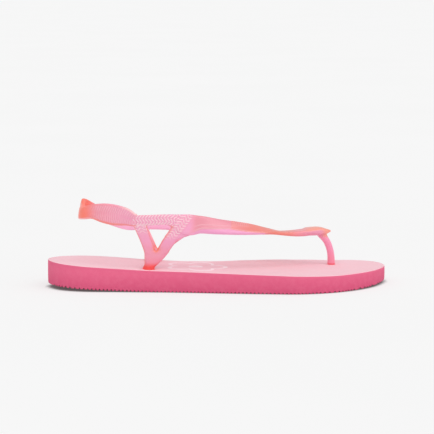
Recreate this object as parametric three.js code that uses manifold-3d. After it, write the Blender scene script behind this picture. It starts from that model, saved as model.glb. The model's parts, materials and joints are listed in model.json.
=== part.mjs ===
// A thong sandal for the right foot with a sling round the heel.
// Millimetres. +X points to the toe, +Y to the inner side of the foot, +Z up, and the ground is Z = 0.
// The sole is three bonded layers. The strap is one soft moulding, shown here as its separate members.
import * as THREE from 'three';
import { mergeVertices } from 'three/addons/utils/BufferGeometryUtils.js';
import Module from 'manifold-3d';

const wasm = await Module();
wasm.setup();

// ---- driving dimensions ----

const soleLength = 250;
const halfLength = soleLength / 2;
const clearance = 0.3;

const outerHeel = 33;
const innerHeel = 26;
const outerWaist = 36.5;
const innerWaist = 18;
const outerBall = 44;
const innerBall = 43;
const innerToe = 44;

const heelThickness = 17.3;
const ballThickness = 12.5;
const toeThickness = 10.3;
const ballX = 85;
const heelLift = 3;
const heelLiftStart = -45;
const toeSpring = 1.9;
const toeSpringStart = 88;
const treadThickness = 2.6;
const footbedThickness = 1.6;

const plugX = -50.4;
const toePostX = 85.3;
const toePostY = 24;
const stemRadius = 2.5;
const discRadius = 5.2;
const discThickness = 2.7;
const discLift = 0.5;

const hingeX = -60.5;
const knuckleRadius = 4.2;
const socketRadius = 5.8;
const legTopRadius = 6.1;

// The two sides differ: the outer members stand higher than the inner ones.
const outer = { name: 'lateral', plugY: -25.4, bandY: -28.2, bandZ: 52.2 };
const inner = { name: 'medial', plugY: 13.8, bandY: 18.1, bandZ: 43.2 };

// ---- sole shape ----

function undersideHeight(x) {
  const towardsHeel = Math.max(0, (heelLiftStart - x) / (heelLiftStart + halfLength));
  const towardsToe = Math.max(0, (x - toeSpringStart) / (halfLength - toeSpringStart));
  return heelLift * towardsHeel ** 1.3 + toeSpring * towardsToe ** 1.5;
}

function soleThickness(x) {
  const toBall = Math.min(1, (x + halfLength) / (ballX + halfLength));
  const pastBall = Math.max(0, (x - ballX) / (halfLength - ballX));
  const taper = (heelThickness - ballThickness) * toBall ** 1.25;
  return heelThickness - taper - (ballThickness - toeThickness) * pastBall ** 2;
}

function footbedHeight(x) {
  return undersideHeight(x) + soleThickness(x);
}

// The outline runs from the heel tip along the outer side to the toe tip, and back along the inner side.
const outerOutline = [
  [-halfLength, -4], [-117, -22], [-101, -31], [-70, -outerHeel - 0.5], [-33, -outerWaist + 1],
  [2, -39.5], [35, -outerBall + 1], [60, -outerBall], [81, -38], [101, -25], [117, -5],
];
const innerOutline = [
  [halfLength, 23], [117, 38.5], [101, innerToe], [76, innerBall], [46, 39], [20, 30.5], [0, 22],
  [-22, innerWaist], [-52, 21.5], [-82, innerHeel], [-102, 23], [-117.5, 12],
];
const outlinePoints = [...outerOutline, ...innerOutline].map(([x, y]) => new THREE.Vector3(x, y, 0));
const outline = new THREE.CatmullRomCurve3(outlinePoints, true, 'centripetal');
const toeAt = outerOutline.length / outlinePoints.length;

// ---- solids ----

function solid(points, triangles) {
  const geometry = new THREE.BufferGeometry().setFromPoints(points);
  geometry.setIndex(triangles.flat());
  const merged = mergeVertices(geometry, 1e-4);
  const kept = [];
  const index = merged.index.array;
  for (let i = 0; i < index.length; i += 3) {
    const [a, b, c] = index.slice(i, i + 3);
    if (a !== b && b !== c && c !== a) kept.push(a, b, c);
  }
  const vertProperties = new Float32Array(merged.attributes.position.array);
  return new wasm.Manifold(new wasm.Mesh({ numProp: 3, vertProperties, triVerts: new Uint32Array(kept) }));
}

// Rings run anticlockwise about the direction in which they follow each other.
function loft(rings) {
  const count = rings[0].length;
  const last = (rings.length - 1) * count;
  const triangles = [];
  for (let i = 0; i < rings.length - 1; i++) {
    for (let j = 0; j < count; j++) {
      const a = i * count + j;
      const b = i * count + (j + 1) % count;
      triangles.push([a, b, b + count], [a, b + count, a + count]);
    }
  }
  for (let j = 1; j < count - 1; j++) {
    triangles.push([0, j + 1, j], [last, last + j, last + j + 1]);
  }
  return solid(rings.flat(), triangles);
}

// A closed section between a circle (squareness 2) and a rectangle (large squareness).
function section(centre, across, up, halfAcross, halfUp, squareness, sides) {
  const ring = [];
  for (let i = 0; i < sides; i++) {
    const angle = (2 * Math.PI * (i + 0.5)) / sides;
    const c = Math.sign(Math.cos(angle)) * Math.abs(Math.cos(angle)) ** (2 / squareness);
    const s = Math.sign(Math.sin(angle)) * Math.abs(Math.sin(angle)) ** (2 / squareness);
    ring.push(centre.clone().addScaledVector(across, c * halfAcross).addScaledVector(up, s * halfUp));
  }
  return ring;
}

// A ribbon's stations are [x, y, z, width, thickness, lean in degrees from upright].
function ribbon(stations) {
  const vector = (values) => new THREE.Vector3(...values);
  const route = stations.map((s) => vector(s.slice(0, 3)));
  const sizes = stations.map((s) => vector(s.slice(3, 6)));
  return {
    last: stations.length - 1,
    route: new THREE.CatmullRomCurve3(route, false, 'catmullrom', 0.5),
    sizes: new THREE.CatmullRomCurve3(sizes, false, 'catmullrom', 0.5),
  };
}

function sweep(band, from, to, extra = 0) {
  const steps = Math.max(4, Math.round((to - from) * 2.5));
  const rings = [];
  for (let i = 0; i <= steps; i++) {
    const at = THREE.MathUtils.lerp(from, to, i / steps) / band.last;
    const centre = band.route.getPoint(at);
    const tangent = band.route.getTangent(at);
    const size = band.sizes.getPoint(at);
    const level = new THREE.Vector3(0, 0, 1).cross(tangent).normalize();
    const upright = tangent.clone().cross(level);
    const lean = THREE.MathUtils.degToRad(size.z);
    const widthAxis = upright.multiplyScalar(Math.cos(lean)).addScaledVector(level, Math.sin(lean));
    const thicknessAxis = widthAxis.clone().cross(tangent);
    rings.push(section(centre, thicknessAxis, widthAxis, size.y / 2 + extra, size.x / 2 + extra, 3, 12));
  }
  return loft(rings);
}

// Levels are [x, y, z, half size along X, half size along Y], from the lowest up.
function standing(levels, squareness, extra = 0) {
  const along = new THREE.Vector3(1, 0, 0);
  const sideways = new THREE.Vector3(0, 1, 0);
  return loft(levels.map(([x, y, z, halfX, halfY]) =>
    section(new THREE.Vector3(x, y, z), along, sideways, halfX + extra, halfY + extra, squareness, 16)));
}

function soleLayer(low, high) {
  const rows = 44;
  const columns = 4;
  const rings = [];
  for (let i = 0; i <= rows; i++) {
    const outerEdge = outline.getPoint((toeAt * i) / rows);
    const innerEdge = outline.getPoint(1 - ((1 - toeAt) * i) / rows);
    const bottom = [];
    const top = [];
    for (let j = 0; j <= columns; j++) {
      const point = outerEdge.clone().lerp(innerEdge, j / columns);
      bottom.push(point.clone().setZ(low(point.x)));
      top.unshift(point.setZ(high(point.x)));
    }
    rings.push([...bottom, ...top]);
  }
  return loft(rings);
}

function pin(x, y, radius, low, high) {
  return standing([[x, y, low, radius, radius], [x, y, high, radius, radius]], 2);
}

function removeAll(body, cutters) {
  return cutters.reduce((left, cutter) => left.subtract(cutter), body);
}

// ---- strap members ----

const outerStrap = ribbon([
  [-66, outer.bandY, outer.bandZ, 8, 3, 0], [-50, outer.bandY, outer.bandZ, 7.8, 3, 0],
  [-36, -27.6, 52.1, 8, 3, 5], [-22, -25.3, 50.2, 10.6, 3, 8], [-12, -22.8, 47.6, 12.8, 3, 16],
  [0, -19.4, 46.1, 12.7, 2.9, 34], [14, -14.4, 44.3, 12.1, 2.8, 45], [27, -9.4, 42.7, 11.1, 2.8, 57],
  [38, -3.5, 40.8, 9.8, 2.8, 75], [47, 2, 38.6, 8.6, 3, 86], [56, 7.5, 37.5, 8, 4, 90],
  [62, 11.6, 37.3, 8, 4.6, 90], [67.5, 14.6, 37.6, 7, 4.8, 90],
]);

const innerStrap = ribbon([
  [-66, inner.bandY, inner.bandZ, 8, 3, 0], [-50, inner.bandY, inner.bandZ, 7.8, 3, 0],
  [-36, 19, 42.6, 8, 3, -5], [-22, 20.2, 41.6, 9.6, 3, -10], [-12, 21.4, 41, 11, 3, -20],
  [0, 23, 40.2, 11.2, 2.9, -32], [14, 24.6, 38.7, 11, 2.8, -46], [27, 25.7, 37.7, 10.4, 2.8, -60],
  [38, 26.4, 36.9, 9.4, 2.8, -76], [47, 26.5, 35.7, 8.4, 3, -88], [56, 25.6, 36, 8, 3.6, -90],
  [62, 24.2, 36.6, 8, 4.4, -90], [67.5, 22.4, 37.3, 7, 4.6, -90],
]);

const saddle = ribbon([
  [66, 17.9, 37.7, 18, 5.4, 90], [71, 18.8, 37.9, 15.4, 6.2, 90], [76, 19.8, 37.9, 12, 6.2, 90],
  [80.5, 20.6, 37.6, 8, 4.4, 90], [84.4, 21.2, 37.3, 2.4, 1.8, 90],
]);

// The sling loop goes from the outer hinge round the heel to the inner hinge.
const sling = ribbon([
  [-54, outer.bandY, outer.bandZ, 8, 3, 0], [hingeX, outer.bandY, outer.bandZ, 8, 3, 0],
  [-67, -27, 54.4, 11.6, 2.8, -4], [-75, -25.5, 55.6, 13.4, 2.6, -6], [-83, -23.8, 56.6, 12.6, 2.6, -6],
  [-91, -21, 57.2, 9.8, 2.6, -4], [-98, -16.5, 55.8, 8.4, 2.6, -4], [-101.4, -9.5, 54.8, 7.4, 2.8, -6],
  [-100.2, -1.5, 57.4, 6.2, 2.8, 0], [-99.8, 6.5, 60.4, 7.8, 2.8, -14], [-94.5, 13, 56.2, 8.4, 2.6, -8],
  [-85, 16, 49.6, 8.4, 2.6, -4], [-76, 17.3, 45.8, 8.4, 2.6, 0], [-68, 17.9, 43.4, 8.2, 2.8, 0],
  [hingeX, inner.bandY, inner.bandZ, 8, 3, 0], [-54, inner.bandY, inner.bandZ, 8, 3, 0],
]);
const outerArmEnd = 4.4;
const innerArmEnd = 11.2;
const armGap = 0.05;

function hingeRod(radius) {
  const from = new THREE.Vector3(hingeX, outer.bandY, outer.bandZ);
  const to = new THREE.Vector3(hingeX, inner.bandY, inner.bandZ);
  const direction = to.clone().sub(from).normalize();
  const geometry = new THREE.CylinderGeometry(radius, radius, from.distanceTo(to) + 20, 32);
  geometry.applyQuaternion(new THREE.Quaternion().setFromUnitVectors(new THREE.Vector3(0, 1, 0), direction));
  geometry.translate(...from.add(to).multiplyScalar(0.5).toArray());
  return fromGeometry(geometry);
}

function fromGeometry(geometry) {
  const position = geometry.attributes.position;
  const points = [];
  for (let i = 0; i < position.count; i++) points.push(new THREE.Vector3().fromBufferAttribute(position, i));
  return solid(points, Array.from(geometry.index.array));
}

// Everything ahead of the hinge line, apart from the round knuckle that turns in the socket.
function aheadOfHinge() {
  const block = new THREE.BoxGeometry(40, 120, 60);
  block.translate(hingeX + 20, 0, outer.bandZ);
  return fromGeometry(block).subtract(hingeRod(knuckleRadius));
}

// Heights in the leg levels are written for a leg that ends on the outer band, then scaled to each side.
function sideHeight(side, z) {
  const base = footbedHeight(plugX);
  return base + ((z - base) * (side.bandZ - 4 - base)) / (outer.bandZ - 4 - base);
}

// Ahead of the legs both bands curve to the inner side, and the tops of the front legs follow them.
function bandDrift(x) {
  return 0.0092 * Math.max(0, x + 40) ** 2;
}

function sideLevels(side, levels) {
  const base = footbedHeight(plugX);
  return levels.map(([x, z, halfX, halfY]) => {
    const rise = (z - base) / (outer.bandZ - base);
    const y = THREE.MathUtils.lerp(side.plugY, side.bandY, Math.max(0, rise)) + bandDrift(x);
    return [x, y, sideHeight(side, z), halfX, halfY];
  });
}

const crotchHeight = 29;
const rearLeg = [
  [-49.3, crotchHeight + clearance, 4.3, 2], [-50.9, 34, 4.3, 1.9], [-52.9, 39.5, 4.5, 1.8],
  [-55.6, 46.5, 4.9, 1.7], [-56.8, 49.5, 5, 1.6],
];
const frontLeg = [
  [-39.7, crotchHeight + clearance, 4.8, 2], [-37, 33.5, 5.1, 1.9], [-32.1, 39, 6, 1.8],
  [-27.6, 43.5, 7, 1.7], [-24.5, 48.5, 7.4, 1.6],
];
const trunk = [
  [plugX, footbedHeight(plugX) + clearance, 4.7, 3.9], [-49.8, 17.4, 4.4, 3.4], [-48.2, 19.5, 5, 2.8],
  [-46.4, 23, 6.8, 2.4], [-44.7, 27, 8.5, 2.2], [-44.2, crotchHeight, 9.4, 2.1],
];

function anchor(x, y, stemTop) {
  return [
    [x, y, discLift, discRadius, discRadius], [x, y, discLift + discThickness, discRadius, discRadius],
    [x, y, discLift + discThickness, stemRadius, stemRadius], [x, y, stemTop, stemRadius, stemRadius],
  ];
}

function sidePlug(side) {
  const stemTop = footbedHeight(plugX) + clearance;
  return standing([...anchor(plugX, side.plugY, stemTop), ...sideLevels(side, trunk)], 2.2);
}

function toePost() {
  const foot = footbedHeight(toePostX) + clearance;
  return standing([
    ...anchor(toePostX, toePostY, foot), [toePostX, toePostY, foot, 2.8, 2.8], [85.1, 23.6, 18.5, 2.7, 2.7],
    [84.1, 22.7, 24, 2.7, 2.7], [81.9, 21.5, 29.5, 3, 2.8], [78.4, 20.4, 34.3, 3.8, 3],
  ], 2);
}

// ---- sub-parts ----

const group = new THREE.Group();

function addPiece(name, material, body) {
  const mesh = body.getMesh();
  const geometry = new THREE.BufferGeometry();
  geometry.setAttribute('position', new THREE.BufferAttribute(mesh.vertProperties, 3));
  geometry.setIndex(new THREE.BufferAttribute(mesh.triVerts, 1));
  geometry.computeVertexNormals();
  const piece = new THREE.Mesh(geometry, material.clone());
  piece.name = name;
  group.add(piece);
}

const soleFoam = new THREE.MeshStandardMaterial({ color: '#e0577f', roughness: 0.85, metalness: 0 });
const footbedFoam = new THREE.MeshStandardMaterial({ color: '#f7c3cc', roughness: 0.8, metalness: 0 });
const strapVinyl = new THREE.MeshStandardMaterial({ color: '#f58fae', roughness: 0.25, metalness: 0 });

function addSole() {
  const anchors = [[plugX, outer.plugY], [plugX, inner.plugY], [toePostX, toePostY]];
  const holes = anchors.map(([x, y]) => pin(x, y, stemRadius + clearance, -1, 40));
  const recesses = anchors.map(([x, y]) =>
    pin(x, y, discRadius + clearance, -1, discLift + discThickness + clearance));
  const treadTop = (x) => undersideHeight(x) + treadThickness;
  const coreTop = (x) => footbedHeight(x) - footbedThickness;
  const tread = soleLayer(undersideHeight, treadTop);
  const core = soleLayer((x) => treadTop(x) + clearance, (x) => coreTop(x) - clearance);
  const footbed = soleLayer(coreTop, footbedHeight);
  addPiece('outsole', soleFoam, removeAll(tread, recesses));
  addPiece('midsole', soleFoam, removeAll(core, [...holes, ...recesses]));
  addPiece('footbed', footbedFoam, removeAll(footbed, holes));
}

function addThong() {
  const keepOff = sweep(saddle, 0, saddle.last, clearance);
  const socket = hingeRod(socketRadius);
  for (const [side, strap] of [[outer, outerStrap], [inner, innerStrap]]) {
    const bridge = sweep(strap, 0.35, 2.3);
    const front = sweep(strap, 2.34, strap.last);
    addPiece(`${side.name}_bridge`, strapVinyl, bridge.subtract(socket));
    addPiece(`${side.name}_front_strap`, strapVinyl, front.subtract(keepOff));
  }
  addPiece('toe_saddle', strapVinyl, sweep(saddle, 0, saddle.last));
  addPiece('toe_post', strapVinyl, toePost());
}

function addSideLegs() {
  const nearHinge = hingeRod(legTopRadius);
  for (const [side, strap] of [[outer, outerStrap], [inner, innerStrap]]) {
    const overhead = sweep(strap, 0.35, 5, clearance);
    const rear = standing(sideLevels(side, rearLeg), 3);
    const rearKeepOff = standing(sideLevels(side, rearLeg), 3, clearance);
    const front = standing(sideLevels(side, frontLeg), 3);
    addPiece(`${side.name}_plug`, strapVinyl, sidePlug(side));
    addPiece(`${side.name}_rear_leg`, strapVinyl, removeAll(rear, [overhead, nearHinge]));
    addPiece(`${side.name}_front_leg`, strapVinyl, removeAll(front, [overhead, rearKeepOff]));
  }
}

function addSling() {
  const ahead = aheadOfHinge();
  const outerArm = sweep(sling, 0, outerArmEnd - armGap).subtract(ahead);
  const innerArm = sweep(sling, innerArmEnd + armGap, sling.last).subtract(ahead);
  addPiece('lateral_sling_arm', strapVinyl, outerArm);
  addPiece('heel_band', strapVinyl, sweep(sling, outerArmEnd, innerArmEnd));
  addPiece('medial_sling_arm', strapVinyl, innerArm);
}

addSole();
addThong();
addSideLegs();
addSling();

export default group;
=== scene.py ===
import json
import math
from types import SimpleNamespace

import bmesh
import bpy
import numpy as np
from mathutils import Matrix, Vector


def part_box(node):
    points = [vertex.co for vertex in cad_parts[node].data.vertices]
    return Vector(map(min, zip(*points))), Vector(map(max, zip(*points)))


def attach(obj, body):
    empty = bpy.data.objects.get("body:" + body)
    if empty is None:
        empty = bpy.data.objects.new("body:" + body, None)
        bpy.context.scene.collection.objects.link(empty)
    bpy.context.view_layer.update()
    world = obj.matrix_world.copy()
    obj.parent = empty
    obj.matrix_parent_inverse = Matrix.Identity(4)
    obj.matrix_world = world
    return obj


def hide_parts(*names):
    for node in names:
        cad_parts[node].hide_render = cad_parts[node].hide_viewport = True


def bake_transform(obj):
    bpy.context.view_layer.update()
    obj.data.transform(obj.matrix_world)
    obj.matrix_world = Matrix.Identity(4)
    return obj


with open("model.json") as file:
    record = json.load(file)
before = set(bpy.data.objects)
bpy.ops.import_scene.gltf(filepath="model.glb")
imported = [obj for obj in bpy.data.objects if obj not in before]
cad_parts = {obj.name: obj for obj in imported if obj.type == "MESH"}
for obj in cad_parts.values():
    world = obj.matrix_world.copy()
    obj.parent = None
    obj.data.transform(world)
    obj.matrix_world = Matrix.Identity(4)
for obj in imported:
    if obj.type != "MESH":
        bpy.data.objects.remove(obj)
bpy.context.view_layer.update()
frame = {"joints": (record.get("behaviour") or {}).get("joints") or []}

# Lengths are in millimetres and become metres when a mesh is made. The axes are the CAD's:
# +X to the toe, +Y to the inner side of the foot, +Z up, the ground at Z = 0.
MM = 0.001


def node_box(name):
    low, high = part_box(name)
    return np.array(low) / MM, np.array(high) / MM


# ---------------------------------------------------------------- sizes

HALF_LENGTH = node_box("footbed")[1][0]
HINGE_X, OUTER_BAND_Y, OUTER_BAND_Z = (value / MM for value in frame["joints"][0]["pos_m"])

HEEL_THICKNESS = 17.3
BALL_THICKNESS = 12.5
TOE_THICKNESS = 10.3
BALL_X = 85
TAPER_POWER = 1.25
HEEL_LIFT = 3
HEEL_LIFT_START = -45
HEEL_LIFT_POWER = 1.3
TOE_SPRING = 1.9
TOE_SPRING_START = 88
TOE_SPRING_POWER = 1.5
TREAD_THICKNESS = 2.6
FOOTBED_THICKNESS = 1.6
GLUE_GAP = 0.02

GROOVE_PITCH = 2.8
GROOVE_DEPTH = 1.2
GROOVE_FLANK = (-0.1, 0.7)
TREAD_WAVE = 1.4
TREAD_WAVELENGTH = 15.0
WALL_BULGE = 0.1
# How far each rim of the wall is rounded: inwards, and along its height.
TOP_RIM = (0.3, 0.45)
LOW_RIM = (0.15, 0.4)
DIMPLE_DEPTH = 0.7
DIMPLE_RADIUS = 5.5
# Steps between the rows of points along the tread, and along the two plain layers.
TREAD_STEP = 0.375
LAYER_STEP = 1.0

PLUG_X = -50.4
TOE_POST = (85.3, 24.0)
STEM_RADIUS = 2.5
DISC_RADIUS = 5.2
DISC_LIFT = 0.5
DISC_TOP = 3.2
RECESS_GAP = 0.3
STEM_GAP = 0.1
# Heights clear of the layers, for the ends of the drills.
BELOW_SOLE = -2
ABOVE_TREAD = 9
ABOVE_SOLE = 40
CROTCH_HEIGHT = 28.0

# The sling ends in a sleeve over the tucked end of each band, at the heel sling's hinge.
SLEEVE_END = -58.3
TUCKED_END = -61.8
SLEEVE_SCALE = 1.06

# Planes at which the strap's skin is cut into members.
MIDLINE_Y = -5
FRONT_MIDLINE_Y = 17.3
FRONT_CUT_X = -15
SADDLE_CUT_X = 59
POST_TOP = 34.2

# The size of the skin's cells, the step between the rings of a band, and where a band ends at the front.
VOXEL = 0.3
BAND_STEP = 0.4
BAND_END = 76

BRAID_PITCH = 2.25
BRAID_ROW = 2.6
BRAID_LEAN = 1.0
ARM_PITCH = 1.6
ARM_ROW = 6.0
BRAID_HEIGHT = 0.3
# The braid ends at a slanted line ahead of the front leg: a point on it, and its run along X for each
# millimetre up. Seen along the line, the leg's strokes are smaller by the scale.
BRAID_LINE = (-34.7, 32.0)
BRAID_LINE_SLOPE = 0.82
BRAID_LINE_SCALE = 0.77
LEG_BRAID_WIDTH = 11
BEAD_HEIGHT = 0.22
CREASE_HEIGHT = 0.14
RIB_PITCH = 1.4
RIB_HEIGHT = 0.2
RIBS_FROM = 10.0
RIBS_TO = 26.0

# Stations along the strap: x, y, z, width, thickness, lean from upright in degrees.
OUTER_BRIDGE = [
    (-72, -28.2, 51.7, 7.6, 3, 0), (-60.5, -28.2, 51.7, 7.6, 3, 0), (-50, -28.2, 51.9, 7.6, 3, 0),
]
INNER_BRIDGE = [
    (-72, 18.1, 43.2, 8, 3, 0), (-60.5, 18.1, 43.2, 8, 3, 0), (-50, 18.1, 43.2, 7.8, 3, 0),
]
OUTER_FRONT = [
    (-36, -27.6, 52.1, 8, 3, 5), (-22, -25.3, 48.3, 15.1, 3, 8), (-12, -22.8, 47.9, 13, 3, 14),
    (0, -19.4, 46.1, 12.7, 2.9, 34), (14, -14.4, 44.3, 12.1, 2.8, 45), (27, -9.4, 42.7, 11.1, 2.8, 57),
    (38, -3.5, 40.8, 9.8, 2.8, 75), (47, 2, 38.6, 8.6, 3, 86), (56, 7.5, 37.5, 8, 4, 90),
    (62, 11.6, 37.3, 8, 4.6, 90), (67.5, 14.6, 37.6, 8, 5, 90), (74, 18, 37.8, 7, 5, 90),
]
INNER_FRONT = [
    (-36, 19, 42.6, 8, 3, -5), (-22, 20.2, 41.3, 10.6, 3, -10), (-12, 21.4, 41.2, 10.6, 3, -20),
    (0, 23, 40.2, 11.2, 2.9, -32), (14, 24.6, 38.7, 11, 2.8, -46), (27, 25.7, 37.7, 10.4, 2.8, -60),
    (38, 26.4, 36.9, 9.4, 2.8, -76), (47, 26.5, 35.7, 8.4, 3, -88), (56, 25.6, 36, 8, 3.6, -90),
    (62, 24.2, 36.6, 8, 4.4, -90), (67.5, 22.4, 37.3, 8, 4.8, -90), (74, 20.6, 37.8, 7, 5, -90),
]
SLING = [
    (-54, -28.2, 51.9, 7.8, 3, 0), (-58.4, -28.2, 51.9, 8.2, 3, 0), (-61, -28.2, 52.2, 8.8, 3, 0),
    (-67, -27.2, 54.3, 12, 2.8, -4), (-75, -25.5, 55.4, 13.8, 2.6, -6), (-83, -23.8, 56.6, 12.9, 2.6, -6),
    (-91, -21, 57.2, 9.6, 2.6, -4), (-97.8, -16.5, 55.6, 8.2, 2.6, -5), (-100.5, -9.5, 54.8, 7.2, 2.8, -8),
    (-98.9, -1.5, 57.4, 5.4, 2.8, 0), (-99.8, 6.5, 60, 7, 2.8, -14), (-94.5, 13, 55.8, 8.2, 2.6, -8),
    (-85, 16, 49.9, 8.2, 2.6, -4), (-76, 17.3, 46.1, 8.2, 2.6, 0), (-68, 17.9, 43.7, 8.2, 2.8, 0),
    (-60.5, 18.1, 43.2, 8, 3, 0), (-50, 18.1, 43.2, 7.8, 3, 0),
]
SADDLE = [
    (62, 17.7, 37.1, 14, 3.4, 90), (66, 17.9, 37.7, 17.2, 5.4, 90), (71, 18.8, 37.9, 15.4, 6.2, 90),
    (76, 19.8, 37.9, 12, 6.2, 90), (80.5, 20.6, 37.6, 8, 4.4, 90), (84.6, 21.2, 37.8, 1.4, 1.3, 90),
]

# Upright members: x, z, half size along X, half size along Y, with z as on the outer side.
TRUNK = [
    (PLUG_X, 13.6, 4.7, 3.9), (-50.3, 15.2, 4.6, 3.8), (-49.8, 17.4, 4.4, 3.4), (-48.2, 19.5, 5, 2.8),
    (-46.4, 23, 6.8, 2.4), (-44.7, 27, 8.5, 2.2), (-44.2, 29, 9.4, 2.1),
]
REAR_LEG = [
    (-48.9, 27.5, 4.2, 2.1), (-49.3, 29.3, 4.3, 2), (-50.9, 34, 4.3, 1.9), (-52.9, 39.5, 4.5, 1.8),
    (-55.6, 46.5, 4.9, 1.7), (-56.8, 49.5, 5, 1.5),
]
OUTER_FRONT_LEG = [
    (-40.6, 27.5, 4.7, 2.1), (-39.7, 29.3, 4.8, 2), (-37, 33.5, 5.1, 1.9), (-34.8, 37, 5.4, 1.8),
    (-33.2, 38.4, 6.1, 1.7), (-31, 39.2, 7.7, 1.6), (-29, 40.4, 9.2, 1.5), (-27.5, 42.5, 9, 1.4),
    (-25.5, 47, 8, 1.3),
]
INNER_FRONT_LEG = [
    (-40.6, 27.5, 4.7, 2.1), (-39.7, 29.3, 4.8, 2), (-37, 33.5, 5.1, 1.9), (-32.1, 39, 6, 1.8),
    (-27.6, 43.5, 7, 1.7), (-24.5, 48.5, 7.4, 1.5),
]
TOE_POST_LEVELS = [
    (*TOE_POST, 12.2, 3, 3), (*TOE_POST, 13, 2.9, 2.9), (85.1, 23.6, 18.5, 2.7, 2.7),
    (84.1, 22.7, 24, 2.7, 2.7), (81.9, 21.5, 29.5, 3, 2.8), (78.4, 20.4, 34.3, 3.8, 3),
    (77.5, 20.1, 36.5, 4, 3),
]

# The sole's edge from the heel tip along the outer side to the toe tip, and back along the inner side.
OUTER_OUTLINE = [
    (-HALF_LENGTH, -4),
    (-117, -22), (-101, -31), (-70, -33.5), (-33, -35.5), (2, -39.5), (35, -43), (60, -44),
    (81, -38), (101, -25), (117, -5),
]
INNER_OUTLINE = [
    (HALF_LENGTH, 23),
    (117, 38.5), (101, 44), (76, 43), (46, 39), (20, 30.5), (0, 22), (-22, 18), (-52, 21.5),
    (-82, 26), (-102, 23), (-117.5, 12),
]


class Side:
    """One side of the foot: where its plug stands on the footbed and where its band runs above."""

    def __init__(self, name, plug_y, band_y, band_z, stations, front_leg):
        self.name = name
        self.plug_y = plug_y
        self.band_y = band_y
        self.band_z = band_z
        self.stations = stations
        self.front_leg = front_leg


OUTER = Side("lateral", -25.4, OUTER_BAND_Y, OUTER_BAND_Z, OUTER_BRIDGE + OUTER_FRONT, OUTER_FRONT_LEG)
INNER = Side("medial", 13.8, 18.1, 43.2, INNER_BRIDGE + INNER_FRONT, INNER_FRONT_LEG)

# Colours as seen in daylight, in 0-255 sRGB. Some stand in for light or shade, as marked.
ROSE = (228, 142, 166)
# Blush and shine are painted highlights, on the braid's strokes, the beads, the creases, the ribs and the
# sling's rim.
HIGHLIGHT_BLUSH = (236, 198, 206)
SHINE = (240, 210, 196)
# Orange on the edges, the crotch, the beads and the heel lobes is a painted glow of light through the thin
# vinyl.
ORANGE = (234, 122, 98)
HEEL_GLOW_ORANGE = (244, 114, 90)
CORAL_RED = (230, 50, 42)
LILAC = (230, 155, 192)
# The pale lilac on faces turned to the foot and under the lilac strip is a painted glow, for light through
# the vinyl where those faces are in shade.
THROUGH_LIGHT_LILAC = (240, 182, 214)
MAUVE = (230, 150, 184)
STRAP_PINK = (224, 142, 168)
# Tan is the saddle's tip colour all round, and on its upward faces a painted light from above.
SADDLE_TAN = (238, 150, 112)
# The lilac strip is the shaded copy of the strap's pink: painted shade on its down-turned lower facet.
SHADED_STRIP_LILAC = (230, 148, 190)
POST_PINK = (238, 148, 180)
DEEP_PINK = (230, 116, 136)
# The foam's colour darkens from the top of the wall to the bottom: painted shade.
FOAM_TOP = (233, 103, 139)
FOAM_SHADED_LOW = (216, 83, 122)
FOAM_MOTTLE = (244, 140, 165)
FOAM_CELL = (196, 66, 104)
FOOTBED_PINK = (248, 205, 214)
FOOTBED_CLOUD = (243, 188, 199)
FOOTBED_SPECK = (250, 214, 222)
PRINT_PINK = (255, 232, 238)
VINYL_PALE = (255, 205, 215)
VINYL_WARM = (240, 120, 130)
FLOOR_GREY = (155, 155, 155)
FLOOR_CLOUD = (150, 150, 150)
FLOOR_GLOW = 0.61
# The share of the floor's glow kept under the sandal, which paints its contact shadow.
GLOW_IN_PAINTED_SHADOW = 0.12

# The flower printed on the footbed, in metres.
FLOWER_CENTRE = (-0.016, -0.008)
FLOWER_RADIUS = 0.0145
PETAL_LENGTH = 0.0075
PETALS = 5
HEART_RADIUS = 0.005
PRINT_LINE = 0.0013
PRINT_BLUR = 0.0005


def linear(colour):
    c = np.array(colour, float) / 255
    return np.where(c <= 0.04045, c / 12.92, ((c + 0.055) / 1.055) ** 2.4)


# ---------------------------------------------------------------- curves and numbers


def unit(v):
    return v / np.linalg.norm(v, axis=-1, keepdims=True)


def smoothstep(low, high, value):
    t = np.clip((value - low) / (high - low), 0, 1)
    return t * t * (3 - 2 * t)


def catmull_rom(points, per_span):
    """Uniform Catmull-Rom through the points, with the end spans extended in a straight line."""
    p = np.array(points, float)
    p = np.vstack([2 * p[0] - p[1], p, 2 * p[-1] - p[-2]])
    t = np.linspace(0, 1, per_span, endpoint=False)[:, None]
    spans = []
    for a, b, c, d in zip(p[:-3], p[1:-2], p[2:-1], p[3:]):
        spans.append(0.5 * (2 * b + (c - a) * t + (2 * a - 5 * b + 4 * c - d) * t**2
                            + (3 * b - a - 3 * c + d) * t**3))
    return np.vstack([*spans, p[-2:-1]])


def centripetal_loop(points, per_span):
    """Closed centripetal Catmull-Rom, the spline of the CAD's outline."""
    p = np.array(points, float)
    count = len(p)
    u = np.linspace(0, 1, per_span, endpoint=False)[:, None]
    spans = []
    for i in range(count):
        a, b, c, d = (p[(i + k - 1) % count] for k in range(4))
        ab, bc, cd = (math.sqrt(np.linalg.norm(q - r)) for q, r in ((b, a), (c, b), (d, c)))
        start = ((b - a) / ab - (c - a) / (ab + bc) + (c - b) / bc) * bc
        end = ((c - b) / bc - (d - b) / (bc + cd) + (d - c) / cd) * bc
        spans.append(b + start * u + (3 * (c - b) - 2 * start - end) * u**2
                     + (2 * (b - c) + start + end) * u**3)
    return np.vstack(spans)


def even_spacing(curve, spacing):
    """The same curve with points at equal steps of length."""
    steps = np.linalg.norm(np.diff(curve[:, :3], axis=0), axis=1)
    along = np.concatenate([[0], np.cumsum(steps)])
    distance = np.linspace(0, along[-1], max(4, int(along[-1] / spacing)) + 1)
    return np.stack([np.interp(distance, along, column) for column in curve.T], 1)


# ---------------------------------------------------------------- meshes


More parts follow.
